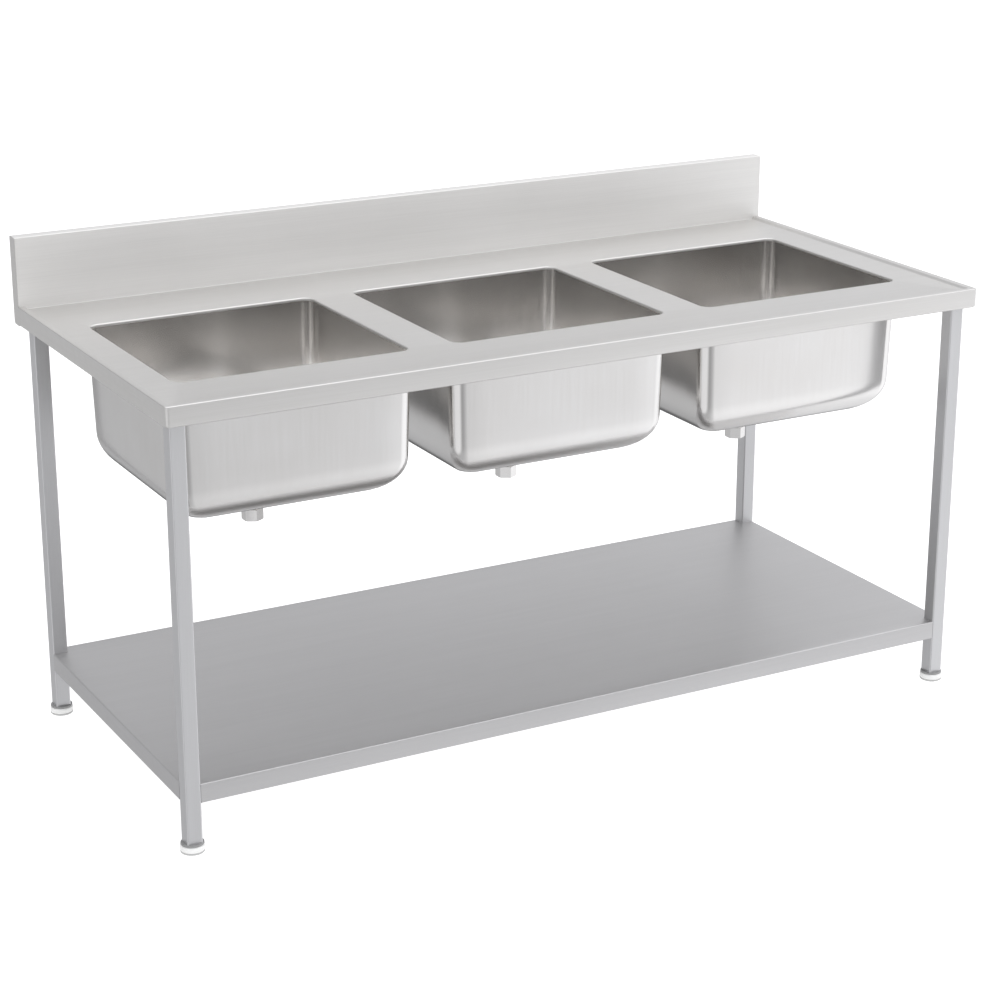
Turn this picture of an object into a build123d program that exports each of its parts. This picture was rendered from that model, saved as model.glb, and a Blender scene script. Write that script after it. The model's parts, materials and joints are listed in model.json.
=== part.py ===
from build123d import *
import math
import os

# Three compartment sink with backsplash and undershelf, in millimetres.
# Frame: origin on the floor under the middle of the unit, +X to the right, +Y to the wall, +Z up.

# --- Overall sizes ---
unit_length = 1830.0
unit_depth = 850.0
rim_height = 900.0

# --- Worktop sheet ---
top_sheet = 1.2
rim_rise = 6.0
rim_width = 12.0
rim_slope = 8.0
pan_round = 10.0
apron_drop = 41.0
apron_hem = 9.0
front_corner_round = 8.0
rim_round = 6.0
hem_round = 5.0

# --- Backsplash ---
splash_rise = 150.0
splash_depth = 30.0
splash_bend = 3.0
splash_lip = 22.0
splash_foot = 20.0
end_cap_round = 8.0

# --- Bowls ---
cutout_length = 488.0
cutout_depth = 474.0
cutout_round = 22.0
cutout_web = 95.5
cutout_front_margin = 158.5
bowl_row_shift = -6.0
bowl_sheet = 1.2
bowl_depth = 300.0
bowl_reveal = 5.0
bowl_draft_run = 5.0
bowl_base_round = 78.0
bowl_base_steps = 6
bowl_flange = 12.0

# --- Legs and under-deck frame ---
leg_size = 32.0
leg_wall = 1.5
leg_round = 3.0
leg_end_inset = 15.0
leg_front_inset = 25.0
leg_back_inset = 41.5
rail_height = 28.0
rail_wall = 1.5
brace_width = 40.0
brace_height = 22.0

# --- Undershelf ---
shelf_height = 143.0
shelf_sheet = 1.2
shelf_lip = 40.0
shelf_hem = 12.0
shelf_bend = 3.0
stiffener_width = 80.0
stiffener_height = 25.0
stiffener_flange = 15.0
stiffener_spacing = 360.0
stiffener_gap = 20.0

# --- Feet ---
foot_height = 21.0
foot_diameter = 48.0
sole_thickness = 5.0
sole_round = 3.0
pad_round = 3.0
collar_diameter = 46.0
collar_thickness = 4.0
collar_gap = 0.5
insert_fit = 0.1
insert_depth = 30.0
stud_diameter = 10.0
stud_fit = 0.05
stud_length = 62.0
stud_head_diameter = 20.0
stud_head_height = 4.0
stud_head_play = 0.3
foot_neck_gap = 0.5

# --- Drains ---
drain_hole_diameter = 92.0
drain_flange_diameter = 114.0
drain_flange_thickness = 2.5
drain_seat_diameter = 92.0
drain_seat_depth = 1.2
cup_diameter = 86.0
cup_wall = 1.6
cup_depth = 40.0
spigot_diameter = 33.2
spigot_bore = 27.0
outlet_height = 516.0
gasket_diameter = 108.0
gasket_thickness = 3.0
locknut_diameter = 104.0
locknut_thickness = 9.0
locknut_lugs = 6
locknut_lug_depth = 4.0
locknut_lug_width = 12.0
union_nut_corners = 45.0
union_nut_height = 24.0
union_nut_floor = 5.0
union_nut_chamfer = 1.5
union_bore_diameter = 32.5
washer_thickness = 2.5
thread_fit = 0.05

# --- Strainer baskets ---
basket_rim_thickness = 1.0
basket_rim_play = 0.5
basket_diameter = 74.0
basket_depth = 26.0
basket_sheet = 0.8
basket_hole_diameter = 5.0
basket_hole_rings = ((12, 28.0), (8, 18.0))
knob_stem_diameter = 6.0
knob_diameter = 20.0
knob_thickness = 5.0
knob_height = 10.0
stopper_diameter = 50.0
stopper_thickness = 5.0
stopper_recess = 1.0

# --- Worked-out places ---
deck_height = rim_height - rim_rise
deck_under = deck_height - top_sheet
apron_bottom = rim_height - apron_drop
half_length = unit_length / 2
front_y = -unit_depth / 2
back_y = unit_depth / 2
splash_y = back_y - splash_depth
splash_top = deck_height + splash_rise

bowl_pitch = cutout_length + cutout_web
bowl_y = front_y + cutout_front_margin + cutout_depth / 2
bowl_places = {
    "left": bowl_row_shift - bowl_pitch,
    "middle": bowl_row_shift,
    "right": bowl_row_shift + bowl_pitch,
}
bowl_bottom = deck_height - bowl_depth
bowl_floor = bowl_bottom + bowl_sheet

leg_x = half_length - leg_end_inset - leg_size / 2
leg_front_y = front_y + leg_front_inset + leg_size / 2
leg_back_y = back_y - leg_back_inset - leg_size / 2
leg_places = {
    "front_left": (-leg_x, leg_front_y),
    "front_right": (leg_x, leg_front_y),
    "rear_left": (-leg_x, leg_back_y),
    "rear_right": (leg_x, leg_back_y),
}
leg_inner = leg_size - 2 * leg_wall
through = 10.0  # how far a cutting solid runs past the face it cuts

os.makedirs("parts", exist_ok=True)


def folded_block(inset, bottom, top, back):
    """Block with rounded front corners and rounded upper and lower edges, square at the back."""
    with BuildPart() as block:
        block_front = front_y + inset
        with BuildSketch(Plane.XY.offset(bottom)):
            with Locations((0, (block_front + back) / 2)):
                Rectangle(unit_length - 2 * inset, back - block_front)
        extrude(amount=top - bottom)
        fillet(block.edges().filter_by(Axis.Z).group_by(Axis.Y)[0], front_corner_round - inset)
        fillet(block.faces().sort_by(Axis.Z)[-1].edges().sort_by(Axis.Y)[:-1], rim_round - inset)
        fillet(block.faces().sort_by(Axis.Z)[0].edges().sort_by(Axis.Y)[:-1], hem_round - inset)
    return block.part


def pan_block(drop, spread):
    """Tapered block of the sunk deck, from the rim's top down to the deck, open at the back."""
    pan_back = splash_y + 4 * through
    with BuildPart() as block:
        for level, inset in ((rim_height, rim_width), (deck_height, rim_width + rim_slope)):
            pan_front = front_y + inset - spread
            pan_y = (pan_front + pan_back) / 2
            with BuildSketch(Plane((0, pan_y, level - drop))):
                RectangleRounded(unit_length - 2 * inset + 2 * spread, pan_back - pan_front, pan_round)
        loft(ruled=True)
        top_face = block.faces().sort_by(Axis.Z)[-1]
        extrude(top_face, amount=through)
    return block.part


# --- Worktop: deck, raised rim, aprons and hem in one folded sheet ---
slope_angle = math.atan2(rim_rise, rim_slope)
pan_spread = top_sheet * math.tan(slope_angle / 2)

with BuildPart() as worktop_cavity:
    add(folded_block(top_sheet, apron_bottom + top_sheet, rim_height - top_sheet, splash_y + through))
    add(pan_block(top_sheet, pan_spread), mode=Mode.SUBTRACT)

with BuildPart() as worktop:
    add(folded_block(0, apron_bottom, rim_height, splash_y))
    add(pan_block(0, 0), mode=Mode.SUBTRACT)
    add(worktop_cavity.part, mode=Mode.SUBTRACT)
    # the opening inside the hem
    hem_inset = top_sheet + apron_hem
    hem_front = front_y + hem_inset
    with BuildSketch(Plane((0, (hem_front + splash_y + through) / 2, apron_bottom - through))):
        Rectangle(unit_length - 2 * hem_inset, splash_y + through - hem_front)
    extrude(amount=through + 2 * top_sheet, mode=Mode.SUBTRACT)
    # the three cut-outs
    with BuildSketch(Plane.XY.offset(deck_under - through)):
        with Locations([(x, bowl_y) for x in bowl_places.values()]):
            RectangleRounded(cutout_length, cutout_depth, cutout_round)
    extrude(amount=2 * through + top_sheet, mode=Mode.SUBTRACT)
worktop.part.label = "worktop"
export_step(worktop.part, "parts/worktop.step")

# --- Backsplash: riser, top return, rear lip and bottom foot ---
splash_length = unit_length - 2 * top_sheet
with BuildPart() as backsplash:
    with BuildSketch(Plane.YZ.offset(-splash_length / 2)):
        with BuildLine():
            FilletPolyline(
                (splash_y + splash_foot, apron_bottom),
                (splash_y, apron_bottom),
                (splash_y, splash_top),
                (back_y, splash_top),
                (back_y, splash_top - splash_lip),
                radius=splash_bend,
            )
            offset(amount=top_sheet, side=Side.RIGHT)
        make_face()
    extrude(amount=splash_length)
backsplash.part.label = "backsplash"
export_step(backsplash.part, "parts/backsplash.step")

# --- Backsplash end caps ---
for side, sign in (("left", -1), ("right", 1)):
    with BuildPart() as end_cap:
        cap_z = (apron_bottom + splash_top) / 2
        cap_x = sign * (half_length - top_sheet)
        with BuildSketch(Plane.YZ.offset(cap_x)):
            with Locations((splash_y + splash_depth / 2, cap_z)):
                Rectangle(splash_depth, splash_top - apron_bottom)
        extrude(amount=sign * top_sheet)
        rear_edges = end_cap.edges().filter_by(Axis.X).group_by(Axis.Y)[-1]
        fillet(rear_edges.sort_by(Axis.Z)[0], end_cap_round)
        fillet(end_cap.edges().filter_by(Axis.X).group_by(Axis.Z)[-1], splash_bend)
    end_cap.part.label = f"backsplash_end_{side}"
    export_step(end_cap.part, f"parts/backsplash_end_{side}.step")

# --- Bowls: drafted walls, rounded base, top flange and drain hole ---
bowl_length = cutout_length + 2 * (bowl_reveal + bowl_sheet)
bowl_width = cutout_depth + 2 * (bowl_reveal + bowl_sheet)
bowl_corner_round = cutout_round + bowl_reveal + bowl_sheet


def bowl_form(x, skin, top):
    """Closed bowl shape, set in from the outer surface by skin, up to the height top."""
    base_round = bowl_base_round - skin
    wall_foot = bowl_bottom + bowl_base_round
    corner = bowl_corner_round - skin

    def section(level, inset):
        with BuildSketch(Plane((x, bowl_y, level))) as outline:
            RectangleRounded(bowl_length - 2 * inset, bowl_width - 2 * inset, corner)
        return outline.sketch

    base = []
    for step in range(bowl_base_steps + 1):
        turn = math.pi / 2 * step / bowl_base_steps
        inset = skin + bowl_draft_run + base_round * (1 - math.cos(turn))
        base.append(section(wall_foot - base_round * math.sin(turn), inset))
    with BuildPart() as form:
        loft([section(top, skin), base[0]], ruled=True)
        loft(base)
    return form.part


for side, bowl_x in bowl_places.items():
    with BuildPart() as bowl:
        add(bowl_form(bowl_x, 0, deck_under))
        with BuildSketch(Plane((bowl_x, bowl_y, deck_under))):
            RectangleRounded(
                bowl_length + 2 * bowl_flange,
                bowl_width + 2 * bowl_flange,
                bowl_corner_round + bowl_flange,
            )
        extrude(amount=-bowl_sheet)
        add(bowl_form(bowl_x, bowl_sheet, deck_under + through), mode=Mode.SUBTRACT)
        with BuildSketch(Plane((bowl_x, bowl_y, bowl_bottom - through))):
            Circle(drain_hole_diameter / 2)
        extrude(amount=2 * through, mode=Mode.SUBTRACT)
    bowl.part.label = f"bowl_{side}"
    export_step(bowl.part, f"parts/bowl_{side}.step")

# --- Legs: square tube from the foot collar up to the deck ---
for corner, (x, y) in leg_places.items():
    with BuildPart() as leg:
        with BuildSketch(Plane((x, y, foot_height))):
            RectangleRounded(leg_size, leg_size, leg_round)
            RectangleRounded(leg_inner, leg_inner, leg_round - leg_wall, mode=Mode.SUBTRACT)
        extrude(amount=deck_under - foot_height)
    leg.part.label = f"leg_{corner}"
    export_step(leg.part, f"parts/leg_{corner}.step")

# --- Under-deck rails: inverted channels between the legs ---
long_rail = 2 * leg_x - leg_size
side_rail = leg_back_y - leg_front_y - leg_size


def channel(plane, width, height, wall, length):
    """Channel open below: the plane's Z runs along it and its Y points up, from the top face."""
    with BuildPart() as rail:
        with BuildSketch(plane):
            with Locations((0, -height / 2)):
                Rectangle(width, height)
            with Locations((0, -(height + wall) / 2)):
                Rectangle(width - 2 * wall, height - wall, mode=Mode.SUBTRACT)
        extrude(amount=length)
    return rail.part


for name, y in (("front", leg_front_y), ("rear", leg_back_y)):
    along_x = Plane((-long_rail / 2, y, deck_under), x_dir=(0, 1, 0), z_dir=(1, 0, 0))
    rail = channel(along_x, leg_size, rail_height, rail_wall, long_rail)
    rail.label = f"rail_{name}"
    export_step(rail, f"parts/rail_{name}.step")

rail_start_y = leg_front_y + leg_size / 2
for name, x in (("left", -leg_x), ("right", leg_x)):
    along_y = Plane((x, rail_start_y, deck_under), x_dir=(-1, 0, 0), z_dir=(0, 1, 0))
    rail = channel(along_y, leg_size, rail_height, rail_wall, side_rail)
    rail.label = f"rail_{name}"
    export_step(rail, f"parts/rail_{name}.step")

for name, sign in (("left", -1), ("right", 1)):
    brace_x = bowl_row_shift + sign * bowl_pitch / 2
    along_y = Plane((brace_x, rail_start_y, deck_under), x_dir=(-1, 0, 0), z_dir=(0, 1, 0))
    brace = channel(along_y, brace_width, brace_height, rail_wall, side_rail)
    brace.label = f"bowl_brace_{name}"
    export_step(brace, f"parts/bowl_brace_{name}.step")

# --- Undershelf: tray with a turned-down lip and hem, notched at the legs ---
shelf_length = 2 * leg_x + leg_size
shelf_depth = leg_back_y - leg_front_y + leg_size
shelf_y = (leg_front_y + leg_back_y) / 2
shelf_bottom = shelf_height - shelf_lip


def shelf_block(inset, bottom, top):
    """Block on the shelf's outline, less the four leg corners, with rounded long edges."""
    with BuildPart() as block:
        with BuildSketch(Plane((0, shelf_y, bottom))):
            Rectangle(shelf_length - 2 * inset, shelf_depth - 2 * inset)
            with Locations([(x, y - shelf_y) for x, y in leg_places.values()]):
                Rectangle(leg_size + 2 * inset, leg_size + 2 * inset, mode=Mode.SUBTRACT)
        extrude(amount=top - bottom)
        outline = block.faces().sort_by(Axis.Z)[-1].edges()
        long_edges = outline.group_by(SortBy.LENGTH)[-2:]
        fillet([edge for group in long_edges for edge in group], shelf_bend - inset)
    return block.part


with BuildPart() as undershelf:
    add(shelf_block(0, shelf_bottom, shelf_height))
    add(
        shelf_block(shelf_sheet, shelf_bottom + shelf_sheet, shelf_height - shelf_sheet),
        mode=Mode.SUBTRACT,
    )
    hem_edge = shelf_sheet + shelf_hem
    with BuildSketch(Plane((0, shelf_y, shelf_bottom))):
        Rectangle(shelf_length - 2 * hem_edge, shelf_depth - 2 * hem_edge)
        with Locations([(x, y - shelf_y) for x, y in leg_places.values()]):
            Rectangle(leg_size + 2 * hem_edge, leg_size + 2 * hem_edge, mode=Mode.SUBTRACT)
    extrude(amount=2 * shelf_sheet, mode=Mode.SUBTRACT)
undershelf.part.label = "undershelf"
export_step(undershelf.part, "parts/undershelf.step")

# --- Undershelf stiffeners: hat sections along the tray ---
stiffener_length = 2 * leg_x - leg_size - 2 * stiffener_gap
stiffener_top = shelf_height - shelf_sheet
for name, sign in (("front", -1), ("rear", 1)):
    stiffener_y = shelf_y + sign * stiffener_spacing / 2
    flange_shift = (stiffener_width + stiffener_flange) / 2 - shelf_sheet
    with BuildPart() as stiffener:
        hat_plane = Plane(
            (-stiffener_length / 2, stiffener_y, stiffener_top), x_dir=(0, 1, 0), z_dir=(1, 0, 0)
        )
        with BuildSketch(hat_plane):
            with Locations((0, -stiffener_height / 2)):
                Rectangle(stiffener_width, stiffener_height)
            with Locations((0, -(stiffener_height - shelf_sheet) / 2)):
                Rectangle(
                    stiffener_width - 2 * shelf_sheet,
                    stiffener_height - shelf_sheet,
                    mode=Mode.SUBTRACT,
                )
            with Locations((-flange_shift, -shelf_sheet / 2), (flange_shift, -shelf_sheet / 2)):
                Rectangle(stiffener_flange, shelf_sheet)
        extrude(amount=stiffener_length)
    stiffener.part.label = f"shelf_stiffener_{name}"
    export_step(stiffener.part, f"parts/shelf_stiffener_{name}.step")

# --- Feet: insert in the leg, swivel stud, nylon pad and rubber sole ---
collar_bottom = foot_height - collar_thickness
pad_top = collar_bottom - collar_gap
head_bottom = sole_thickness
neck_diameter = stud_diameter + 2 * foot_neck_gap
head_room = stud_head_height + stud_head_play
for corner, (x, y) in leg_places.items():
    with BuildPart() as insert:
        with BuildSketch(Plane((x, y, collar_bottom))):
            Circle(collar_diameter / 2)
        extrude(amount=collar_thickness)
        with BuildSketch(Plane((x, y, foot_height))):
            plug = leg_inner - 2 * insert_fit
            RectangleRounded(plug, plug, leg_round - leg_wall)
        extrude(amount=insert_depth)
        with BuildSketch(Plane((x, y, collar_bottom))):
            Circle(stud_diameter / 2 + stud_fit)
        extrude(amount=collar_thickness + insert_depth, mode=Mode.SUBTRACT)
    insert.part.label = f"foot_insert_{corner}"
    export_step(insert.part, f"parts/foot_insert_{corner}.step")

    with BuildPart() as stud:
        with BuildSketch(Plane((x, y, head_bottom))):
            Circle(stud_head_diameter / 2)
        extrude(amount=stud_head_height)
        with BuildSketch(Plane((x, y, head_bottom))):
            Circle(stud_diameter / 2)
        extrude(amount=stud_length)
        chamfer(stud.edges().sort_by(Axis.Z)[-1], stud_diameter / 10)
    stud.part.label = f"foot_stud_{corner}"
    export_step(stud.part, f"parts/foot_stud_{corner}.step")

    with BuildPart() as pad:
        with BuildSketch(Plane((x, y, sole_thickness))):
            Circle(foot_diameter / 2)
        extrude(amount=pad_top - sole_thickness)
        fillet(pad.edges().sort_by(Axis.Z)[-1], pad_round)
        with BuildSketch(Plane((x, y, sole_thickness))):
            Circle(stud_head_diameter / 2 + foot_neck_gap)
        extrude(amount=head_room, mode=Mode.SUBTRACT)
        with BuildSketch(Plane((x, y, sole_thickness))):
            Circle(neck_diameter / 2)
        extrude(amount=pad_top - sole_thickness, mode=Mode.SUBTRACT)
    pad.part.label = f"foot_pad_{corner}"
    export_step(pad.part, f"parts/foot_pad_{corner}.step")

    with BuildPart() as sole:
        with BuildSketch(Plane((x, y, 0))):
            Circle(foot_diameter / 2)
        extrude(amount=sole_thickness)
        fillet(sole.edges().sort_by(Axis.Z)[0], sole_round)
    sole.part.label = f"foot_sole_{corner}"
    export_step(sole.part, f"parts/foot_sole_{corner}.step")

# --- Drains: body, gasket, locknut, slip washer and union nut ---
flange_top = bowl_floor + drain_flange_thickness
seat_level = flange_top - drain_seat_depth
cup_bottom = bowl_bottom - cup_depth
cup_inner = cup_diameter - 2 * cup_wall
union_top = outlet_height + union_nut_height
spigot_end = outlet_height + union_nut_floor + washer_thickness
lug_angle = 360 / locknut_lugs
for side, bowl_x in bowl_places.items():
    with BuildPart() as drain:
        with BuildSketch(Plane((bowl_x, bowl_y, bowl_floor))):
            Circle(drain_flange_diameter / 2)
        extrude(amount=drain_flange_thickness)
        chamfer(drain.edges().sort_by(Axis.Z)[-1], drain_flange_thickness / 3)
        with BuildSketch(Plane((bowl_x, bowl_y, cup_bottom))):
            Circle(cup_diameter / 2)
        extrude(amount=bowl_floor - cup_bottom)
        with BuildSketch(Plane((bowl_x, bowl_y, spigot_end))):
            Circle(spigot_diameter / 2)
        extrude(amount=cup_bottom - spigot_end)
        with BuildSketch(Plane((bowl_x, bowl_y, seat_level))):
            Circle(drain_seat_diameter / 2)
        extrude(amount=through, mode=Mode.SUBTRACT)
        with BuildSketch(Plane((bowl_x, bowl_y, cup_bottom + cup_wall))):
            Circle(cup_inner / 2)
        extrude(amount=bowl_depth, mode=Mode.SUBTRACT)
        with BuildSketch(Plane((bowl_x, bowl_y, spigot_end))):
            Circle(spigot_bore / 2)
        extrude(amount=bowl_depth, mode=Mode.SUBTRACT)
    drain.part.label = f"drain_body_{side}"
    export_step(drain.part, f"parts/drain_body_{side}.step")

    with BuildPart() as gasket:
        with BuildSketch(Plane((bowl_x, bowl_y, bowl_bottom))):
            Circle(gasket_diameter / 2)
            Circle(cup_diameter / 2 + thread_fit, mode=Mode.SUBTRACT)
        extrude(amount=-gasket_thickness)
    gasket.part.label = f"drain_gasket_{side}"
    export_step(gasket.part, f"parts/drain_gasket_{side}.step")

    with BuildPart() as locknut:
        with BuildSketch(Plane((bowl_x, bowl_y, bowl_bottom - gasket_thickness))):
            Circle(locknut_diameter / 2 - locknut_lug_depth)
            with PolarLocations(locknut_diameter / 2 - locknut_lug_depth, locknut_lugs):
                Rectangle(2 * locknut_lug_depth, locknut_lug_width)
            Circle(cup_diameter / 2 + thread_fit, mode=Mode.SUBTRACT)
        extrude(amount=-locknut_thickness)
    locknut.part.label = f"drain_locknut_{side}"
    export_step(locknut.part, f"parts/drain_locknut_{side}.step")

    with BuildPart() as washer:
        with BuildSketch(Plane((bowl_x, bowl_y, outlet_height + union_nut_floor))):
            Circle(spigot_diameter / 2)
            Circle(spigot_bore / 2, mode=Mode.SUBTRACT)
        extrude(amount=washer_thickness)
    washer.part.label = f"slip_washer_{side}"
    export_step(washer.part, f"parts/slip_washer_{side}.step")

    with BuildPart() as nut_crown:
        with BuildSketch(Plane((bowl_x, bowl_y, outlet_height))):
            Circle(union_nut_corners / 2)
        extrude(amount=union_nut_height)
        chamfer(nut_crown.edges().filter_by(GeomType.CIRCLE), union_nut_chamfer)

    with BuildPart() as union_nut:
        with BuildSketch(Plane((bowl_x, bowl_y, outlet_height))):
            RegularPolygon(union_nut_corners / 2, 6, rotation=30)
        extrude(amount=union_nut_height)
        add(nut_crown.part, mode=Mode.INTERSECT)
        with BuildSketch(Plane((bowl_x, bowl_y, outlet_height))):
            Circle(union_bore_diameter / 2)
        extrude(amount=union_nut_height, mode=Mode.SUBTRACT)
        with BuildSketch(Plane((bowl_x, bowl_y, outlet_height + union_nut_floor))):
            Circle(spigot_diameter / 2 + thread_fit)
        extrude(amount=union_nut_height, mode=Mode.SUBTRACT)
    union_nut.part.label = f"union_nut_{side}"
    export_step(union_nut.part, f"parts/union_nut_{side}.step")

# --- Strainer baskets: perforated cup with a knob, and the rubber stopper under it ---
basket_rim_diameter = drain_seat_diameter - 2 * basket_rim_play
basket_floor = seat_level - basket_depth
for side, bowl_x in bowl_places.items():
    with BuildPart() as basket:
        with BuildSketch(Plane((bowl_x, bowl_y, seat_level))):
            Circle(basket_rim_diameter / 2)
        extrude(amount=basket_rim_thickness)
        with BuildSketch(Plane((bowl_x, bowl_y, basket_floor))):
            Circle(basket_diameter / 2)
        extrude(amount=basket_depth)
        with BuildSketch(Plane((bowl_x, bowl_y, basket_floor + basket_sheet))):
            Circle(basket_diameter / 2 - basket_sheet)
        extrude(amount=basket_depth + basket_rim_thickness, mode=Mode.SUBTRACT)
        with BuildSketch(Plane((bowl_x, bowl_y, basket_floor))):
            for holes, ring_radius in basket_hole_rings:
                with PolarLocations(ring_radius, holes):
                    Circle(basket_hole_diameter / 2)
        extrude(amount=basket_sheet, mode=Mode.SUBTRACT)
        with BuildSketch(Plane((bowl_x, bowl_y, basket_floor))):
            Circle(knob_stem_diameter / 2)
        extrude(amount=basket_depth + knob_height)
        with BuildSketch(Plane((bowl_x, bowl_y, seat_level + knob_height - knob_thickness))):
            Circle(knob_diameter / 2)
        extrude(amount=knob_thickness)
        fillet(basket.edges().sort_by(Axis.Z)[-1], knob_thickness / 3)
    basket.part.label = f"strainer_basket_{side}"
    export_step(basket.part, f"parts/strainer_basket_{side}.step")

    with BuildPart() as stopper:
        with BuildSketch(Plane((bowl_x, bowl_y, basket_floor - stopper_recess))):
            Circle(knob_stem_diameter)
        extrude(amount=stopper_recess)
        with BuildSketch(Plane((bowl_x, bowl_y, basket_floor - stopper_recess))):
            Circle(stopper_diameter / 2)
        extrude(amount=-stopper_thickness)
    stopper.part.label = f"stopper_{side}"
    export_step(stopper.part, f"parts/stopper_{side}.step")
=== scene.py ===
"""Looks of a three compartment sink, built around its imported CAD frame.

Every length is in metres, in the frame of the CAD model: +X right, +Y to the wall, +Z up.
"""

import json
import logging
import math
from dataclasses import dataclass, field
from enum import Enum
from typing import Sequence, Union

import bmesh
import bpy
from mathutils import Euler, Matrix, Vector
from mathutils.geometry import delaunay_2d_cdt


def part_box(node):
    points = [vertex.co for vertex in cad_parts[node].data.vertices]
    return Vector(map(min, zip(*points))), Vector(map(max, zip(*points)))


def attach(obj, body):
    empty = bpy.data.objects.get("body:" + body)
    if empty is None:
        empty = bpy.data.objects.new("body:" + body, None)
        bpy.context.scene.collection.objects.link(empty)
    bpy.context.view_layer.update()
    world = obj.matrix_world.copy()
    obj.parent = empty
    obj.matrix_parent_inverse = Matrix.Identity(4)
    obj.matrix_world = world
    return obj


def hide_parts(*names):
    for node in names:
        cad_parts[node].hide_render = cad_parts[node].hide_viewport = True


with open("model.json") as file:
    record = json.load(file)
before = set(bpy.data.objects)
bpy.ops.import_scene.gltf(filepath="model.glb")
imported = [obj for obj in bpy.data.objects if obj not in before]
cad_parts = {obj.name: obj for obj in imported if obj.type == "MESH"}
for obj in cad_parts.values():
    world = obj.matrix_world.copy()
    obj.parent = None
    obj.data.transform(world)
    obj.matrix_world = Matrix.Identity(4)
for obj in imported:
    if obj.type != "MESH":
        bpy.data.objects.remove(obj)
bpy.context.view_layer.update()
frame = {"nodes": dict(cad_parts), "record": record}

LOG = logging.getLogger("sink")
MM = 0.001
BOWLS = ("left", "middle", "right")
CORNERS = ("front_left", "front_right", "rear_left", "rear_right")
STAND = "stand"
# Painted light: the riser gets a lighter, less metallic copy of the deck's satin_steel, so it reads brighter than the
# deck as though more light fell on it.
PAINTED_LIGHT_RISER = "satin_steel_riser_painted_light"

Flat = tuple[float, float]
Colour = tuple[float, float, float]
Loop = list[Vector]


# --- Shader tools ---


class Signal:
    """A number carried by a shader socket, open to plain arithmetic."""

    def __init__(self, graph: "Graph", socket: bpy.types.NodeSocket) -> None:
        """Keeps the graph and the socket that carries the number."""
        self.graph = graph
        self.socket = socket

    def _math(self, operation: str, *values: "Value", clamp: bool = False) -> "Signal":
        """Adds one Math node.

        Args:
            operation: the node's operation.
            values: what feeds its sockets, in order.
            clamp: whether the result stays between 0 and 1.

        Returns:
            The node's result.
        """
        settings = {"operation": operation, "use_clamp": clamp}
        node = self.graph.node("ShaderNodeMath", settings, dict(enumerate(values)))
        return Signal(self.graph, node.outputs[0])

    def __add__(self, other: "Value") -> "Signal":
        """Sum."""
        return self._math("ADD", self, other)

    def __radd__(self, other: "Value") -> "Signal":
        """Sum, from the right."""
        return self._math("ADD", other, self)

    def __sub__(self, other: "Value") -> "Signal":
        """Difference."""
        return self._math("SUBTRACT", self, other)

    def __rsub__(self, other: "Value") -> "Signal":
        """Difference, from the right."""
        return self._math("SUBTRACT", other, self)

    def __mul__(self, other: "Value") -> "Signal":
        """Product."""
        return self._math("MULTIPLY", self, other)

    def __rmul__(self, other: "Value") -> "Signal":
        """Product, from the right."""
        return self._math("MULTIPLY", other, self)

    def __gt__(self, other: "Value") -> "Signal":
        """1 where this is above the other, else 0."""
        return self._math("GREATER_THAN", self, other)

    def __abs__(self) -> "Signal":
        """Size without its sign."""
        return self._math("ABSOLUTE", self)

    def clamped(self) -> "Signal":
        """The same number, kept between 0 and 1."""
        return self._math("ADD", self, 0.0, clamp=True)


Value = Union[float, int, Sequence[float], Signal, bpy.types.NodeSocket]


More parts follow.
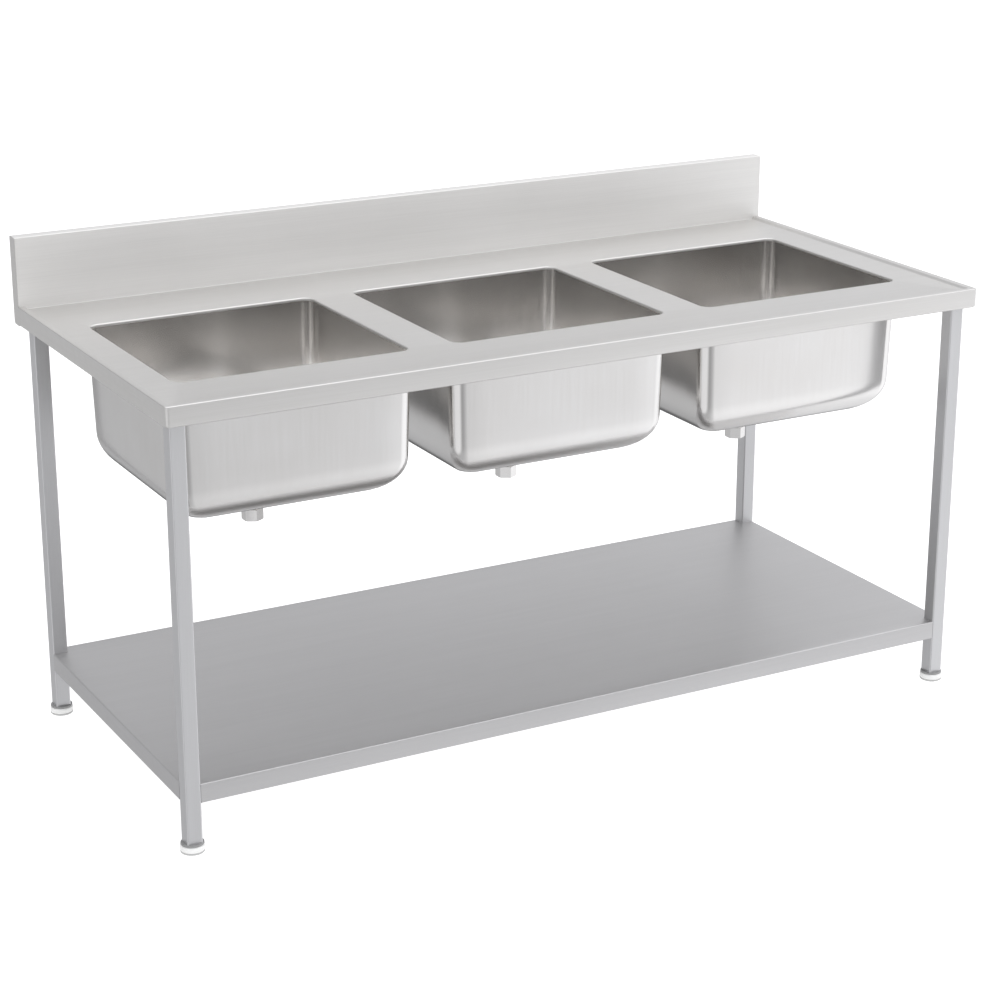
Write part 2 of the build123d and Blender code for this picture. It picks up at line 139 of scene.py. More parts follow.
class Graph:
    """One material's or world's node tree, with the few moves that the finishes need."""

    def __init__(self, tree: bpy.types.NodeTree) -> None:
        """Starts from an empty tree."""
        self.tree = tree
        tree.nodes.clear()

    def node(self, kind: str, settings: dict | None = None, values: dict | None = None) -> bpy.types.Node:
        """Adds a node.

        Args:
            kind: the node's type.
            settings: its properties, set first; "stops" holds a ramp's stops.
            values: what each socket, by name or number, is set or linked to.

        Returns:
            The new node.
        """
        node = self.tree.nodes.new(kind)
        for key, setting in (settings or {}).items():
            if key == "stops":
                self._set_stops(node.color_ramp, setting)
            else:
                setattr(node, key, setting)
        for key, value in (values or {}).items():
            socket = node.inputs[key]
            if isinstance(value, Signal):
                self.tree.links.new(value.socket, socket)
            elif isinstance(value, bpy.types.NodeSocket):
                self.tree.links.new(value, socket)
            else:
                socket.default_value = value
        return node

    @staticmethod
    def _set_stops(ramp: bpy.types.ColorRamp, stops: Sequence[tuple[float, float]]) -> None:
        """Sets a ramp's grey stops.

        Args:
            ramp: the ramp.
            stops: the place and brightness of each stop.
        """
        while len(ramp.elements) < len(stops):
            ramp.elements.new(1.0)
        for element, (place, level) in zip(ramp.elements, stops):
            element.position = place
            element.color = (level, level, level, 1.0)

    def ramp(self, signal: Signal, stops: Sequence[tuple[float, float]]) -> Signal:
        """The signal remapped through grey stops."""
        node = self.node("ShaderNodeValToRGB", {"stops": stops}, {"Fac": signal})
        return Signal(self, node.outputs["Color"])

    def coordinates(self, output: str = "Object") -> bpy.types.NodeSocket:
        """A texture coordinate of the piece, in its own space."""
        return self.node("ShaderNodeTexCoord").outputs[output]

    def scaled(self, scale: Sequence[float], turn: Sequence[float] = (0.0, 0.0, 0.0)) -> bpy.types.NodeSocket:
        """Object coordinates, turned and stretched per axis."""
        values = {"Vector": self.coordinates(), "Scale": scale, "Rotation": turn}
        return self.node("ShaderNodeMapping", None, values).outputs[0]

    def noise(self, scale: Sequence[float], detail: float = 2.0, roughness: float = 0.5) -> Signal:
        """Noise over the piece.

        Args:
            scale: how many features there are to the metre, along each axis.
            detail: how many finer layers are added.
            roughness: how strong the finer layers are.

        Returns:
            The noise, about 0.5 on average.
        """
        values = {"Vector": self.scaled(scale), "Scale": 1.0, "Detail": detail, "Roughness": roughness}
        return Signal(self, self.node("ShaderNodeTexNoise", None, values).outputs[0])

    def facing(self, axis: int) -> Signal:
        """1 on faces that look along one of the piece's axes, else 0."""
        split = self.node("ShaderNodeSeparateXYZ", None, {0: self.coordinates("Normal")})
        return abs(Signal(self, split.outputs[axis])) > 0.75

    @staticmethod
    def blend(mask: Signal, low: Signal, high: Signal) -> Signal:
        """low where the mask is 0, high where it is 1."""
        return low + (high - low) * mask

    def tint(self, mask: Value, dark: Colour, light: Colour) -> bpy.types.NodeSocket:
        """A colour between dark and light, chosen by the mask."""
        values = {"Factor": mask, 6: (*dark, 1.0), 7: (*light, 1.0)}
        return self.node("ShaderNodeMix", {"data_type": "RGBA"}, values).outputs[2]

    def bump(self, height: Signal, strength: float, depth: float, under: Value | None = None) -> bpy.types.NodeSocket:
        """A bumped normal.

        Args:
            height: the relief, from 0 to 1.
            strength: how much of it shows.
            depth: how deep the relief is, in metres.
            under: another bump that this one lies on.

        Returns:
            The normal's socket.
        """
        values = {"Height": height, "Strength": strength, "Distance": depth}
        if under is not None:
            values["Normal"] = under
        return self.node("ShaderNodeBump", None, values).outputs[0]

    def surface(self, values: dict) -> None:
        """Ends the tree in a Principled shader with these socket values."""
        shader = self.node("ShaderNodeBsdfPrincipled", None, values)
        self.node("ShaderNodeOutputMaterial", None, {"Surface": shader.outputs[0]})


class Grain(Enum):
    """Which way a sheet's brushing runs."""

    LENGTH = 0
    DEPTH = 1
    HEIGHT = 2


def new_graph(name: str) -> tuple[bpy.types.Material, Graph]:
    """Makes an empty node material.

    Args:
        name: the material's name.

    Returns:
        The material and its graph.
    """
    material = bpy.data.materials.new(name)
    material.use_nodes = True
    return material, Graph(material.node_tree)


@dataclass(frozen=True)
class BrushedSteel:
    """Stainless sheet or tube with a directional brushed grain."""

    name: str
    dark: Colour = (0.685, 0.675, 0.655)
    light: Colour = (0.73, 0.72, 0.705)
    grain: Grain = Grain.LENGTH
    roughness: float = 0.40
    roughness_swing: float = 0.05
    grain_depth: float = 0.00003
    grain_strength: float = 0.12
    along: float = 6.0
    across: float = 700.0
    ripple: float = 0.0004
    smear: float = 0.03
    metallic: float = 0.85

    def _stretch(self, axis: int) -> tuple[float, float, float]:
        """Noise frequencies for a grain along one axis."""
        return tuple(self.along if i == axis else self.across for i in range(3))

    def build(self) -> bpy.types.Material:
        """Makes the material.

        Returns:
            The finished material.
        """
        material, g = new_graph(self.name)
        axis = self.grain.value
        other = Grain.DEPTH.value if axis == Grain.LENGTH.value else Grain.LENGTH.value
        ends = g.facing(axis)
        fine = g.blend(ends, g.noise(self._stretch(axis), 3.0, 0.6), g.noise(self._stretch(other), 3.0, 0.6))
        broad_scale = tuple(2.0 if i == axis else 60.0 for i in range(3))
        broad = g.noise(broad_scale, 2.0)
        cloud = g.noise((3.1, 3.7, 4.3), 3.0, 0.55)
        rubbed = g.ramp(g.noise((9.0, 11.0, 10.0), 5.0, 0.7), ((0.52, 0.0), (0.78, 1.0)))
        streaks = (fine * 0.55 + broad * 0.25 + cloud * 0.2).clamped()
        contrast = g.ramp(streaks, ((0.34, 0.0), (0.66, 1.0)))
        rough = fine * self.roughness_swing + (self.roughness - self.roughness_swing / 2) + rubbed * self.smear
        waves = g.bump(g.noise((2.3, 2.9, 3.1), 1.0), 0.5, self.ripple)
        normal = g.bump(fine, self.grain_strength, self.grain_depth, waves)
        g.surface({
            "Base Color": g.tint(contrast, self.dark, self.light),
            "Metallic": self.metallic,
            "Roughness": rough,
            "Normal": normal,
        })
        return material


@dataclass(frozen=True)
class PolishedSteel:
    """Pressed or plated steel with a soft shine, faint drawing marks and water spots."""

    name: str
    dark: Colour = (0.785, 0.77, 0.75)
    light: Colour = (0.825, 0.815, 0.80)
    roughness: float = 0.17
    spots: float = 0.05
    ripple: float = 0.0003

    def build(self) -> bpy.types.Material:
        """Makes the material.

        Returns:
            The finished material.
        """
        material, g = new_graph(self.name)
        draw_marks = g.noise((160.0, 160.0, 6.0), 3.0, 0.6)
        cloud = g.noise((4.0, 4.6, 5.2), 3.0, 0.5)
        spots = g.ramp(g.noise((7.0, 8.0, 9.0), 2.0, 0.5), ((0.35, 0.0), (0.75, 1.0)))
        tone = g.ramp((draw_marks * 0.3 + cloud * 0.7).clamped(), ((0.36, 0.0), (0.64, 1.0)))
        rough = draw_marks * 0.04 + (self.roughness - 0.02) + spots * self.spots
        waves = g.bump(g.noise((3.0, 3.4, 3.8), 1.0), 0.5, self.ripple)
        normal = g.bump(draw_marks, 0.15, 0.00003, waves)
        g.surface({
            "Base Color": g.tint(tone, self.dark, self.light),
            "Metallic": 1.0,
            "Roughness": rough,
            "Normal": normal,
        })
        return material


@dataclass(frozen=True)
class Moulded:
    """Rubber, nylon or plastic: a fine mould texture, scuffs and a little dust."""

    name: str
    base: Colour
    worn: Colour
    roughness: float = 0.5
    texture: float = 900.0
    depth: float = 0.00008

    def build(self) -> bpy.types.Material:
        """Makes the material.

        Returns:
            The finished material.
        """
        material, g = new_graph(self.name)
        grit = g.noise((self.texture,) * 3, 2.0)
        scuff = g.ramp(g.noise((70.0, 75.0, 160.0), 4.0, 0.65), ((0.48, 0.0), (0.72, 1.0)))
        g.surface({
            "Base Color": g.tint(scuff, self.base, self.worn),
            "Roughness": scuff * 0.18 + grit * 0.08 + self.roughness,
            "Normal": g.bump(grit, 0.3, self.depth),
        })
        return material


@dataclass
class FinishShop:
    """The finishes of the sink, each made once, under the record's slot names, plus a lighter copy of satin_steel for
    the riser that is painted light.
    """

    made: dict[str, bpy.types.Material] = field(default_factory=dict)

    def stock(self) -> None:
        """Makes every finish."""
        finishes = {
            "satin_steel": BrushedSteel("satin_steel"),
            # Painted light: a lighter, half-metallic copy of satin_steel for the riser, standing in for the extra
            # light it shows over the deck.
            PAINTED_LIGHT_RISER: BrushedSteel(PAINTED_LIGHT_RISER, (0.82, 0.81, 0.79), (0.87, 0.86, 0.84), roughness=0.44, metallic=0.5),
            "bowl_steel": PolishedSteel("bowl_steel"),
            "frame_steel": BrushedSteel(
                "frame_steel", (0.62, 0.62, 0.625), (0.66, 0.66, 0.665), Grain.HEIGHT, 0.40, ripple=0.0002
            ),
            "shelf_steel": BrushedSteel("shelf_steel", (0.565, 0.56, 0.56), (0.605, 0.60, 0.60), ripple=0.0006),
            "bright_steel": PolishedSteel("bright_steel", roughness=0.14, ripple=0.0001),
            "zinc_steel": PolishedSteel("zinc_steel", (0.50, 0.51, 0.50), (0.62, 0.63, 0.62), roughness=0.3),
            "black_rubber": Moulded("black_rubber", (0.018, 0.018, 0.019), (0.05, 0.05, 0.05), 0.6),
            "grey_collar": Moulded("grey_collar", (0.30, 0.30, 0.30), (0.38, 0.38, 0.38), 0.45),
            "white_nylon": Moulded("white_nylon", (0.93, 0.93, 0.92), (0.86, 0.86, 0.845), 0.38),
            "grey_rubber": Moulded("grey_rubber", (0.50, 0.50, 0.495), (0.58, 0.58, 0.57), 0.6),
        }
        for slot, finish in finishes.items():
            self.made[slot] = finish.build()

    def dress(self, piece: bpy.types.Object, slot: str) -> None:
        """Gives a piece the finish of a slot."""
        piece.data.materials.clear()
        piece.data.materials.append(self.made[slot])

    def dress_cad(self) -> int:
        """Dresses every CAD node in its slot's finish.

        Returns:
            How many nodes were dressed.
        """
        slots = {row["node"]: row["material_slot"] for row in frame["record"]["subparts"]}
        for name, node in frame["nodes"].items():
            material = self.made[slots[name]]
            if node.material_slots:
                for place in node.material_slots:
                    place.material = material
            else:
                node.data.materials.append(material)
        return len(frame["nodes"])


SHOP = FinishShop()


# --- Mesh tools ---


def arc(centre: Flat, radius: float, start: float, end: float, steps: int) -> list[Flat]:
    """Points on an arc.

    Args:
        centre: the arc's centre.
        radius: its radius.
        start: the first angle, in degrees.
        end: the last angle, in degrees.
        steps: how many spans it has.

    Returns:
        steps + 1 points, both ends included.
    """
    turns = [math.radians(start + (end - start) * i / steps) for i in range(steps + 1)]
    return [(centre[0] + radius * math.cos(t), centre[1] + radius * math.sin(t)) for t in turns]


def rounded_rectangle(half_x: float, half_y: float, radius: float, steps: int = 10, spans: int = 1) -> list[Flat]:
    """Outline of a rectangle with rounded corners, counter-clockwise from its right side.

    Args:
        half_x: half its length.
        half_y: half its depth.
        radius: its corner radius.
        steps: spans on each corner.
        spans: spans on each straight side.

    Returns:
        The outline's points, the first not repeated.
    """
    x, y = half_x - radius, half_y - radius
    points: list[Flat] = []
    for centre, start in (((x, y), 0), ((-x, y), 90), ((-x, -y), 180), ((x, -y), 270)):
        corner = arc(centre, radius, start, start + 90, steps)
        if points and spans > 1:
            last, first = points[-1], corner[0]
            for i in range(1, spans):
                t = i / spans
                points.append((last[0] + (first[0] - last[0]) * t, last[1] + (first[1] - last[1]) * t))
        points += corner
    if spans > 1:
        last, first = points[-1], points[0]
        for i in range(1, spans):
            t = i / spans
            points.append((last[0] + (first[0] - last[0]) * t, last[1] + (first[1] - last[1]) * t))
    return points


@dataclass
class Shape:
    """A mesh in the making: points and faces, gathered from lofts, lathes and panels."""

    points: list[Vector] = field(default_factory=list)
    faces: list[tuple[int, ...]] = field(default_factory=list)

    def loft(self, loops: Sequence[Sequence[Vector]], closed: bool = True, ring: bool = False) -> "Shape":
        """Skins a run of loops with four-sided faces.

        Args:
            loops: loops of equal length.
            closed: whether each loop closes on itself.
            ring: whether the last loop joins the first.

        Returns:
            This shape.
        """
        base, count = len(self.points), len(loops[0])
        for loop in loops:
            self.points += [Vector(p) for p in loop]
        pairs = len(loops) if ring else len(loops) - 1
        for i in range(pairs):
            low, high = base + i * count, base + (i + 1) % len(loops) * count
            for j in range(count if closed else count - 1):
                k = (j + 1) % count
                self.faces.append((low + j, low + k, high + k, high + j))
        return self

    def lathe(self, centre: Flat, profile: Sequence[Flat], steps: int = 48, ring: bool = False) -> "Shape":
        """Turns a profile of radius and height about an upright axis.

        Args:
            centre: the axis's place in plan.
            profile: radius and height of each ring.
            steps: spans round the axis.
            ring: whether the profile closes on itself.

        Returns:
            This shape.
        """
        turns = [2 * math.pi * i / steps for i in range(steps)]
        loops = [
            [Vector((centre[0] + r * math.cos(t), centre[1] + r * math.sin(t), z)) for t in turns]
            for r, z in profile
        ]
        return self.loft(loops, ring=ring)

    def panel(self, outline: Sequence[Flat], holes: Sequence[Sequence[Flat]], level: float) -> "Shape":
        """Fills a flat, level panel.

        Args:
            outline: its outer boundary.
            holes: the boundaries of its holes.
            level: its height.

        Returns:
            This shape.
        """
        places = [Vector(p) for p in outline]
        edges = [(i, (i + 1) % len(outline)) for i in range(len(outline))]
        for hole in holes:
            start = len(places)
            places += [Vector(p) for p in hole]
            edges += [(start + i, start + (i + 1) % len(hole)) for i in range(len(hole))]
        filled, _, triangles, *_ = delaunay_2d_cdt(places, edges, [], 1, 1e-7)
        base = len(self.points)
        self.points += [Vector((p.x, p.y, level)) for p in filled]
        for triangle in triangles:
            middle = sum((filled[i] for i in triangle), Vector((0.0, 0.0))) / len(triangle)
            if not any(contains(hole, middle) for hole in holes) and contains(outline, middle):
                self.faces.append(tuple(base + i for i in triangle))
        return self

    def cap(self, loop: Sequence[Vector]) -> "Shape":
        """Closes a loop with one flat face.

        Args:
            loop: the face's corners, in order.

        Returns:
            This shape.
        """
        base = len(self.points)
        self.points += [Vector(p) for p in loop]
        self.faces.append(tuple(range(base, base + len(loop))))
        return self

    def place(self, name: str, slot: str, body: str = STAND, replaces: Sequence[str] = (),
              thickness: float = 0.0, sharp: float = 32.0, finish: str = "") -> bpy.types.Object:
        """Makes the piece and puts it on its body.

        Args:
            name: the piece's name.
            slot: the record's slot that gives its finish.
            body: the CAD body it rides on.
            replaces: the CAD nodes it stands for.
            thickness: sheet thickness, laid on the side that the faces look away from.
            sharp: the angle, in degrees, above which an edge stays crisp.
            finish: a variant of the slot's finish, where the piece has one.

        Returns:
            The finished object.
        """
        mesh = bpy.data.meshes.new(name)
        mesh.from_pydata([tuple(p) for p in self.points], [], self.faces)
        work = bmesh.new()
        work.from_mesh(mesh)
        bmesh.ops.remove_doubles(work, verts=work.verts, dist=2e-6)
        bmesh.ops.dissolve_degenerate(work, edges=work.edges, dist=1e-7)
        bmesh.ops.recalc_face_normals(work, faces=work.faces)
        work.to_mesh(mesh)
        work.free()
        piece = bpy.data.objects.new(name, mesh)
        bpy.context.scene.collection.objects.link(piece)
        if thickness:
            thicken(piece, thickness)
        piece.data.shade_smooth()
        piece.data.set_sharp_from_angle(angle=math.radians(sharp))
        SHOP.dress(piece, finish or slot)
        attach(piece, body)
        if replaces:
            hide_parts(*replaces)
        LOG.info("%s: %d faces on %s", name, len(piece.data.polygons), body)
        return piece


def contains(outline: Sequence[Flat], point: Vector) -> bool:
    """Tells whether a point in plan lies inside an outline.

    Args:
        outline: the closed outline.
        point: the point.

    Returns:
        True inside, False outside.
    """
    inside = False
    for (x0, y0), (x1, y1) in zip(outline, list(outline[1:]) + [outline[0]]):
        if (y0 > point.y) != (y1 > point.y) and point.x < (x1 - x0) * (point.y - y0) / (y1 - y0) + x0:
            inside = not inside
    return inside


def thicken(piece: bpy.types.Object, thickness: float) -> None:
    """Gives a folded sheet its thickness, for good.

    Args:
        piece: the sheet, whose outer side its faces look away from or towards.
        thickness: positive lays it behind the faces, negative in front of them.
    """
    solid = piece.modifiers.new("sheet", "SOLIDIFY")
    solid.thickness = thickness
    solid.offset = -1.0
    solid.use_even_offset = True
    graph = bpy.context.evaluated_depsgraph_get()
    done = bpy.data.meshes.new_from_object(piece.evaluated_get(graph))
    piece.modifiers.clear()
    piece.data = done


def face_up(shape: Shape, up: Vector) -> None:
    """Turns every face of an open sheet so that its first face looks along up.

    Args:
        shape: the sheet.
        up: the direction.
    """
    first = [shape.points[i] for i in shape.faces[0]]
    normal = (first[1] - first[0]).cross(first[2] - first[0])
    if normal.dot(up) < 0:
        shape.faces = [tuple(reversed(f)) for f in shape.faces]


# --- Worktop ---


@dataclass
class Worktop:
    """The folded top: sunk deck, raised rim, aprons with a hem, and rounded cut-out lips."""

    sheet: float = 1.2 * MM
    rim_rise: float = 6 * MM
    rim_width: float = 12 * MM
    rim_slope: float = 8 * MM
    rim_round: float = 2.2 * MM
    hem_round: float = 5 * MM
    hem: float = 9 * MM
    corner_round: float = 8 * MM
    cutout_half: Flat = (244 * MM, 237 * MM)
    cutout_round: float = 22 * MM
    lip_round: float = 3.2 * MM
    lip_drop: float = 6 * MM
    brow_soft: float = 1.5 * MM
    slope_steps: int = 9

    def _edge_profile(self, low: float, top: float) -> list[Flat]:
        """Draws the section from the deck over the rim and down to the hem.

        Args:
            low: the hem's height.
            top: the rim's height.

        Returns:
            Inset from the worktop's edge, and height, of each point.
        """
        deck = top - self.rim_rise
        foot, brow = self.rim_width + self.rim_slope, self.rim_width
        points = [(foot, deck)]
        for i in range(1, self.slope_steps):
            t = i / self.slope_steps
            ease = t * t * (3 - 2 * t)
            points.append((foot - (foot - brow) * t, deck + self.rim_rise * ease))
        points.append((brow - self.brow_soft, top))
        points += [(self.rim_round - x, top - self.rim_round + y) for x, y in arc((0, 0), self.rim_round, 90, 0, 8)]
        points += [(self.hem_round - x, low + self.hem_round - y) for x, y in arc((0, 0), self.hem_round, 0, 90, 6)]
        points.append((self.sheet + self.hem, low))
        return points

    def _path(self, inset: float, level: float, lo: Vector, hi: Vector) -> Loop:
        """Carries one section point round the two sides and the front.

        Args:
            inset: how far it lies inside the worktop's edge.
            level: its height.
            lo: the worktop's least corner.
            hi: the worktop's greatest corner.

        Returns:
            The U-shaped run.
        """
        x0, x1, y0 = lo.x + inset, hi.x - inset, lo.y + inset
        r = self.corner_round
        plan = [(x0, hi.y)]
        plan += arc((x0 + r, y0 + r), r, 180, 270, 8)
        plan += arc((x1 - r, y0 + r), r, 270, 360, 8)
        plan.append((x1, hi.y))
        return [Vector((x, y, level)) for x, y in plan]

    def bowl_centres(self) -> dict[str, Flat]:
        """Finds the bowls.

        Returns:
            Each bowl's middle in plan, by name.
        """
        found = {}
        for name in BOWLS:
            lo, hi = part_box(f"bowl_{name}")
            found[name] = ((lo.x + hi.x) / 2, (lo.y + hi.y) / 2)
        return found

    def build(self) -> None:
        """Makes the worktop, which stands for its CAD node."""
        lo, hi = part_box("worktop")
        shape = Shape()
        profile = self._edge_profile(lo.z, hi.z)
        shape.loft([self._path(inset, level, lo, hi) for inset, level in profile], closed=False)
        deck = hi.z - self.rim_rise
        outline = [(p.x, p.y) for p in self._path(profile[0][0], deck, lo, hi)]
        holes = []
        for centre in self.bowl_centres().values():
            loops = []
            for swing, level in self._lip_profile(deck):
                half_x, half_y = self.cutout_half[0] + swing, self.cutout_half[1] + swing
                ring = rounded_rectangle(half_x, half_y, self.cutout_round + swing, 12)
                loops.append([Vector((centre[0] + x, centre[1] + y, level)) for x, y in ring])
            holes.append([(p.x, p.y) for p in loops[0]])
            shape.loft(loops)
        shape.panel(outline, holes, deck)
        shape.place("worktop_sheet", "satin_steel", replaces=["worktop"], thickness=self.sheet)

    def _lip_profile(self, deck: float) -> list[Flat]:
        """Draws the cut-out's rounded lip, from the deck down.

        Args:
            deck: the deck's height.

        Returns:
            Swing out from the cut-out, and height, of each point.
        """
        r = self.lip_round
        points = [(r - x, deck - r + y) for x, y in arc((0, 0), r, 90, 0, 6)]
        return points + [(0.0, deck - self.lip_drop)]


# --- Backsplash ---


@dataclass
class Backsplash:
    """The riser with its top return and rear lip, and the weld along its foot."""

    sheet: float = 1.2 * MM
    bend: float = 1.6 * MM
    foot: float = 20 * MM
    lip: float = 22 * MM
    fillet: float = 1.2 * MM
    fillet_bite: float = 0.2 * MM
    spans: int = 12

    def build(self) -> None:
        """Makes the riser and the weld at its foot."""
        lo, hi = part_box("backsplash")
        r = self.bend
        section = [(lo.y + self.foot, lo.z)]
        section += arc((lo.y + r, lo.z + r), r, 270, 180, 6)
        section += arc((lo.y + r, hi.z - r), r, 180, 90, 6)
        section += arc((hi.y - r, hi.z - r), r, 90, 0, 6)
        section.append((hi.y, hi.z - self.lip))
        stations = [lo.x + (hi.x - lo.x) * i / self.spans for i in range(self.spans + 1)]
        shape = Shape().loft([[Vector((x, y, z)) for y, z in section] for x in stations], closed=False)
        face_up(shape, Vector((0, 0, -1)))
        # Painted light: the riser wears the lighter copy of the deck's steel, not the deck's own finish.
        shape.place("backsplash_sheet", "satin_steel", replaces=["backsplash"],
                    thickness=self.sheet, finish=PAINTED_LIGHT_RISER)
        self._crease(lo)

    def _crease(self, lo: Vector) -> None:
        """Makes the dressed weld in the corner between deck and riser.

        Args:
            lo: the backsplash's least corner.
        """
        top_lo, top_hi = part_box("worktop")
        deck = top_hi.z - Worktop.rim_rise
        inset = Worktop.rim_width + Worktop.rim_slope
        r = self.fillet
        section = [(lo.y - r + x, deck + r + y) for x, y in arc((0, 0), r, 270, 360, 6)]
        section.append((lo.y + self.fillet_bite, deck - self.fillet_bite))
        stations = (top_lo.x + inset, top_hi.x - inset)
        loops = [[Vector((x, y, z)) for y, z in section] for x in stations]
        shape = Shape().loft(loops)
        for loop in loops:
            shape.cap(loop)
        shape.place("backsplash_crease", "satin_steel")


# --- Bowls ---


@dataclass
class Bowl:
    """One pressed bowl: drafted walls, a deep round base and a floor that falls to the drain."""

    name: str
    sheet: float = 1.2 * MM
    flange: float = 12 * MM
    reveal: float = 5 * MM
    draft: float = 5 * MM
    corner: float = 28.2 * MM
    base_round: float = 78 * MM
    fall: float = 5 * MM
    crease_depth: float = 1.4 * MM
    crease_width: float = 0.07
    hole: float = 46 * MM
    seat: float = 62 * MM
    steps: int = 12
    spans: int = 9
    wall_rings: int = 8
    base_rings: int = 12
    floor_rings: int = 14

    def _ring(self, skin: float, inset: float, level: float, centre: Flat, half: Flat, corner: float) -> Loop:
        """Draws one level outline of the wall.

        Args:
            skin: how deep in the sheet it lies.
            inset: how far the wall leans in at this level.
            level: its height.
            centre: the bowl's middle in plan.
            half: half the bowl's length and depth, outside.
            corner: the corner radius.

        Returns:
            The outline.
        """
        outline = rounded_rectangle(
            half[0] - skin - inset, half[1] - skin - inset, corner, self.steps, self.spans
        )
        return [Vector((centre[0] + x, centre[1] + y, level)) for x, y in outline]

    def _wall(self, skin: float, top: float, bottom: float, centre: Flat, half: Flat) -> list[Loop]:
        """Draws one side of the sheet from the top down to the end of the base round.

        Args:
            skin: how deep in the sheet this side lies.
            top: the height where it starts.
            bottom: the height of the bowl's underside.
            centre: the bowl's middle in plan.
            half: half the bowl's length and depth, outside.

        Returns:
            The rings, from the top down.
        """
        base = self.base_round - skin
        shoulder = bottom + self.fall + self.base_round
        corner = self.corner - skin
        rings = []
        for i in range(self.wall_rings + 1):
            t = i / self.wall_rings
            rings.append(self._ring(skin, self.draft * t, top + (shoulder - top) * t, centre, half, corner))
        for i in range(1, self.base_rings + 1):
            turn = math.pi / 2 * i / self.base_rings
            inset = self.draft + base * (1 - math.cos(turn))
            rings.append(self._ring(skin, inset, shoulder - base * math.sin(turn), centre, half, corner))
        return rings

    def _floor(self, edge: Loop, level: float, centre: Flat) -> list[Loop]:
        """Draws the floor from the base round in to the drain hole, with four creases to the corners.

        Args:
            edge: the last ring of the base round.
            level: the floor's height at the drain.
            centre: the bowl's middle in plan.

        Returns:
            The rings, from the outside in.
        """
        rings = []
        start = edge[0].z
        diagonals = [
            math.atan2(sy * (max(p.y for p in edge) - centre[1]), sx * (max(p.x for p in edge) - centre[0]))
            for sx, sy in ((1, 1), (-1, 1), (-1, -1), (1, -1))
        ]
        for i in range(1, self.floor_rings + 1):
            t = i / self.floor_rings
            ring = []
            for p in edge:
                dx, dy = p.x - centre[0], p.y - centre[1]
                angle = math.atan2(dy, dx)
                reach = math.hypot(dx, dy)
                radius = reach + (self.seat - reach) * t
                off = min(abs((angle - d + math.pi) % (2 * math.pi) - math.pi) for d in diagonals)
                crease = math.exp(-((off / self.crease_width) ** 2)) * math.sin(math.pi * t) ** 0.5
                z = start + (level - start) * t - self.crease_depth * crease * (1 - 0.3 * t)
                ring.append(Vector((centre[0] + radius * math.cos(angle), centre[1] + radius * math.sin(angle), z)))
            rings.append(ring)
        last = rings[-1]
        middle = Vector((centre[0], centre[1], 0))
        rings.append([
            Vector((*(middle.xy + (p.xy - middle.xy).normalized() * self.hole), level)) for p in last
        ])
        return rings

    def build(self) -> None:
        """Makes the bowl, which stands for its CAD node."""
        lo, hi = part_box(f"bowl_{self.name}")
        centre = ((lo.x + hi.x) / 2, (lo.y + hi.y) / 2)
        half = ((hi.x - lo.x) / 2 - self.flange, (hi.y - lo.y) / 2 - self.flange)
        outer = self._wall(0.0, hi.z - self.sheet, lo.z, centre, half)
        outer += self._floor(outer[-1], lo.z, centre)
        inner = self._wall(self.sheet, hi.z, lo.z, centre, half)
        inner += self._floor(inner[-1], lo.z + self.sheet, centre)
        brim = self._ring(0.0, -self.flange, hi.z, centre, half, self.corner + self.flange)
        under = [Vector((p.x, p.y, hi.z - self.sheet)) for p in brim]
        loops = [under, *outer, *reversed(inner), brim]
        Shape().loft(loops, ring=True).place(
            f"bowl_{self.name}_pressing", "bowl_steel", replaces=[f"bowl_{self.name}"], sharp=50
        )


# --- Undershelf ---


@dataclass
class Undershelf:
    """The tray: a flat panel notched at the legs, with a bent lip and hem between them."""

    sheet: float = 1.2 * MM
    bend: float = 3 * MM
    hem: float = 12 * MM

    def build(self) -> None:
        """Makes the tray, which stands for its CAD node."""
        lo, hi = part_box("undershelf")
        leg_lo, leg_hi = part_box("leg_front_left")
        notch = leg_hi.x - leg_lo.x
        r = self.bend
        section = [(r - x, hi.z - r + y) for x, y in arc((0, 0), r, 90, 0, 6)]
        section += [(r - x, lo.z + r - y) for x, y in arc((0, 0), r, 0, 90, 6)]
        section.append((self.hem, lo.z))
        shape = Shape()
        for axis, sign in ((0, -1), (0, 1), (1, -1), (1, 1)):
            across = 1 - axis
            face = (lo if sign < 0 else hi)[across]
            starts = (lo[axis] + notch, hi[axis] - notch)
            loops = []
            for inset, level in section:
                loop = []
                for along in starts:
                    place = [0.0, 0.0, level]
                    place[axis], place[across] = along, face - sign * inset
                    loop.append(Vector(place))
                loops.append(loop)
            if (axis == 0) == (sign > 0):
                loops = [list(reversed(loop)) for loop in loops]
            shape.loft(loops, closed=False)
        corners = []
        for sx, sy in ((-1, -1), (1, -1), (1, 1), (-1, 1)):
            x, y = (lo.x if sx < 0 else hi.x), (lo.y if sy < 0 else hi.y)
            deep = (x - sx * notch, y - sy * notch)
            side, front = (x - sx * r, deep[1]), (deep[0], y - sy * r)
            corners += [side, deep, front] if sx * sy > 0 else [front, deep, side]
        shape.panel(corners, [], hi.z)
        shape.place("undershelf_tray", "shelf_steel", replaces=["undershelf"], thickness=self.sheet)


# --- Welds ---


